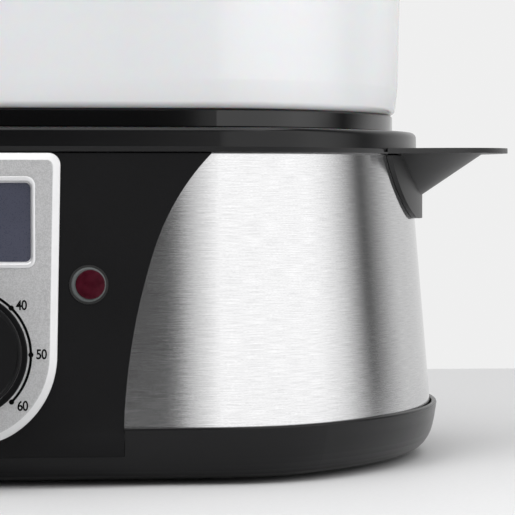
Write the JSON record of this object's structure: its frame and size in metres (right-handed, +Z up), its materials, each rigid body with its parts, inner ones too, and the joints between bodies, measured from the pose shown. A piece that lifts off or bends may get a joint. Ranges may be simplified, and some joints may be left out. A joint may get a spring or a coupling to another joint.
{
  "type": "electric food steamer",
  "caption": "Oval electric food steamer and egg cooker: brushed steel base with timer dial and display, drip tray, stacking milky baskets with egg cups, and a lid.",
  "frame": {"origin": "on the table under the middle of the base", "axes": "+Z up, -Y towards the front with the dial and display, +X to the right seen from the front"},
  "size_m": [0.3766, 0.2662, 0.3433],
  "materials": {
    "tray_black": "fine matt",
    "brushed_steel": "brushed along the base",
    "fascia_black": "fine textured matt",
    "rim_black": "satin",
    "reservoir_grey": "satin",
    "panel_silver": "metallic silver paint",
    "bright_bead": "bright",
    "display_glass": "clear over a dark slate display",
    "module_grey": "matt",
    "knob_black": "satin",
    "pointer_white": "gloss",
    "turned_steel": "turned",
    "plated_steel": "zinc plated",
    "lens_red": "clear dark red",
    "holder_black": "matt",
    "led_red": "clear red",
    "board_green": "solder resist",
    "relay_blue": "gloss",
    "capacitor_blue": "gloss sleeve",
    "nylon_white": "matt",
    "seal_red": "silicone",
    "element_steel": "heat-dulled",
    "brass": "plain",
    "ceramic_tan": "matt",
    "ring_grey": "satin",
    "spout_black": "satin",
    "gland_black": "matt",
    "wire_brown": "plain",
    "wire_blue": "plain",
    "wire_red": "silicone",
    "wire_yellow": "plain",
    "feet_rubber": "matt",
    "drip_black": "gloss",
    "milky_white": "gloss, translucent",
    "handle_black": "satin"
  },
  "bodies": {
    "base": {"base_tray": "tray_black", "steel_skin": "brushed_steel", "front_fascia": "fascia_black", "top_rim": "rim_black", "water_reservoir": "reservoir_grey", "control_panel": "panel_silver", "lcd_frame": "bright_bead", "lcd_window": "display_glass", "lcd_module": "module_grey", "encoder_body": "module_grey", "encoder_nut": "plated_steel", "indicator_lens": "lens_red", "indicator_holder": "holder_black", "indicator_led": "led_red", "control_board": "board_green", "board_screws": "plated_steel", "power_relay": "relay_blue", "buzzer": "holder_black", "capacitor": "capacitor_blue", "wire_connector": "nylon_white", "heater_plate": "turned_steel", "heater_seal": "seal_red", "heating_coil": "element_steel", "heater_nuts": "brass", "thermostat": "ceramic_tan", "thermal_fuse": "ceramic_tan", "fill_spout_right": "spout_black", "fill_spout_left": "spout_black", "cord_gland": "gland_black", "gland_nut": "gland_black", "terminal_block": "nylon_white", "mains_wires": "wire_brown", "feed_wires": "wire_blue", "heater_wires": "wire_red", "sensor_wires": "wire_yellow", "rubber_feet": "feet_rubber", "base_screws": "plated_steel"},
    "timer_knob": {"timer_knob": "knob_black", "knob_pointer": "pointer_white", "encoder_shaft": "turned_steel"},
    "turbo_ring": {"turbo_ring": "ring_grey"},
    "drip_tray": {"drip_tray": "drip_black"},
    "lower_basket": {"lower_basket": "milky_white"},
    "lower_egg_grid": {"lower_egg_grid": "milky_white"},
    "upper_basket": {"upper_basket": "milky_white"},
    "upper_egg_grid": {"upper_egg_grid": "milky_white"},
    "lid": {"lid": "milky_white", "lid_handle": "handle_black", "lid_screws": "plated_steel"}
  },
  "joints": [
    {"name": "timer_turn", "type": "hinge", "parent": "base", "child": "timer_knob", "pos_m": [0, -0.11532, 0.04034], "axis": [0, 0.9965, -0.0839], "range_deg": [0, 270]},
    {"name": "turbo_ring_lift", "type": "slide", "parent": "base", "child": "turbo_ring", "axis": [0, 0, 1], "range_m": [0, 0.015]},
    {"name": "drip_tray_lift", "type": "slide", "parent": "base", "child": "drip_tray", "axis": [0, 0, 1], "range_m": [0, 0.06]},
    {"name": "lower_basket_lift", "type": "slide", "parent": "drip_tray", "child": "lower_basket", "axis": [0, 0, 1], "range_m": [0, 0.06]},
    {"name": "lower_grid_lift", "type": "slide", "parent": "lower_basket", "child": "lower_egg_grid", "axis": [0, 0, 1], "range_m": [0, 0.05]},
    {"name": "upper_basket_lift", "type": "slide", "parent": "lower_basket", "child": "upper_basket", "axis": [0, 0, 1], "range_m": [0, 0.06]},
    {"name": "upper_grid_lift", "type": "slide", "parent": "upper_basket", "child": "upper_egg_grid", "axis": [0, 0, 1], "range_m": [0, 0.05]},
    {"name": "lid_lift", "type": "slide", "parent": "upper_basket", "child": "lid", "axis": [0, 0, 1], "range_m": [0, 0.08]}
  ]
}
